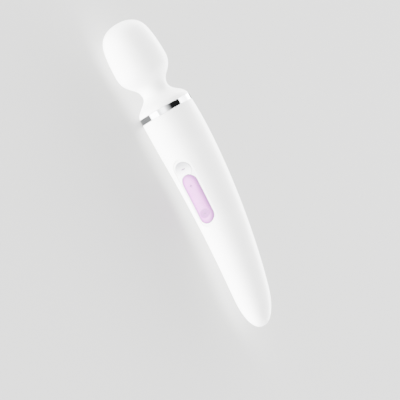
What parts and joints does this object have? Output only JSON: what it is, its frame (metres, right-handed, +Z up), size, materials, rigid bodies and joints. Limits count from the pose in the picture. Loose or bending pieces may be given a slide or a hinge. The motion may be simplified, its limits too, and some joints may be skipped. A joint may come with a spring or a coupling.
{
  "type": "handheld wand massager",
  "caption": "Cordless wand massager: an egg-shaped soft head on a sprung neck, a chrome collar, and a curved tapering handle with a round power button and a speed rocker.",
  "frame": {"origin": "middle of the underside of the wand's box as it lies on its side", "axes": "the head points to -X and the handle's tip to +X; the controls face -Y; +Z is up, across the wand's own left-right symmetry plane"},
  "size_m": [0.332, 0.08, 0.0567],
  "materials": {
    "white_silicone": "matte white silicone",
    "white_plastic": "satin white ABS",
    "grey_plastic": "moulded grey nylon",
    "lilac_silicone": "translucent lilac silicone",
    "chrome": "polished",
    "steel": "plain",
    "brass": "plain",
    "copper": "bare copper",
    "bronze": "sintered bronze",
    "magnet": "plated magnet",
    "black_rubber": "matte black rubber",
    "circuit_board": "green solder mask",
    "cell_wrap": "blue film over a metal can",
    "red_wire": "insulated wire"
  },
  "bodies": {
    "handle": {"shoulder_sleeve": "white_silicone", "neck_flange": "grey_plastic", "trim_ring": "chrome", "ring_seal": "black_rubber", "handle_skin": "white_silicone", "front_shell": "white_plastic", "rear_shell": "white_plastic", "shell_screw_1": "steel", "shell_screw_2": "steel", "shell_screw_3": "steel", "shell_screw_4": "steel", "control_bezel": "white_plastic", "keypad_membrane": "black_rubber", "rocker_pin": "steel", "main_board": "circuit_board", "board_screw_1": "steel", "board_screw_2": "steel", "power_switch": "grey_plastic", "speed_up_switch": "grey_plastic", "speed_down_switch": "grey_plastic", "control_chip": "black_rubber", "inner_chassis": "grey_plastic", "battery_cell_1": "cell_wrap", "battery_cell_2": "cell_wrap", "battery_tab_1": "steel", "battery_tab_2": "steel", "battery_link": "steel", "battery_leads": "red_wire", "charge_pad": "white_plastic", "charge_contact_1": "brass", "charge_contact_2": "brass", "charge_magnet": "magnet", "charge_leads": "red_wire"},
    "neck": {"neck_sleeve": "white_silicone", "neck_spring": "steel", "motor_leads": "red_wire"},
    "head": {"head_sleeve": "white_silicone", "motor_pod_left": "white_plastic", "motor_pod_right": "white_plastic", "motor_pod_screw_1": "steel", "motor_pod_screw_2": "steel", "motor_can": "steel", "motor_end_cap": "grey_plastic", "motor_bush_front": "bronze", "motor_bush_rear": "bronze", "motor_magnet_1": "magnet", "motor_magnet_2": "magnet", "motor_terminal_1": "brass", "motor_terminal_2": "brass", "motor_damper_front": "black_rubber", "motor_damper_rear": "black_rubber"},
    "rotor": {"motor_shaft": "steel", "armature": "steel", "armature_windings": "copper", "commutator": "copper", "eccentric_weight_front": "brass", "eccentric_weight_rear": "brass"},
    "power_button": {"power_button": "white_silicone"},
    "rocker": {"speed_rocker": "lilac_silicone"}
  },
  "joints": [
    {"name": "neck_nod", "type": "hinge", "parent": "handle", "child": "neck", "pos_m": [-0.08919, 0.01181, 0.02835], "axis": [0, 0, 1], "range_deg": [-8, 8], "stiffness_Nm_per_rad": 6, "deforming": ["neck_spring", "motor_leads"]},
    {"name": "neck_sway", "type": "hinge", "parent": "neck", "child": "head", "pos_m": [-0.08919, 0.01181, 0.02835], "axis": [0, 1, 0], "range_deg": [-8, 8], "stiffness_Nm_per_rad": 6},
    {"name": "motor_spin", "type": "hinge", "parent": "head", "child": "rotor", "pos_m": [-0.13248, 0.01181, 0.02835], "axis": [1, 0, 0], "continuous": true},
    {"name": "power_press", "type": "slide", "parent": "handle", "child": "power_button", "axis": [0.0912, 0.9958, 0], "range_m": [0, 0.0005], "stiffness_N_per_m": 600},
    {"name": "rocker_tilt", "type": "hinge", "parent": "handle", "child": "rocker", "pos_m": [0.02656, -0.01286, 0.02835], "axis": [0, 0, 1], "range_deg": [-1.5, 1.5], "stiffness_Nm_per_rad": 0.6}
  ]
}
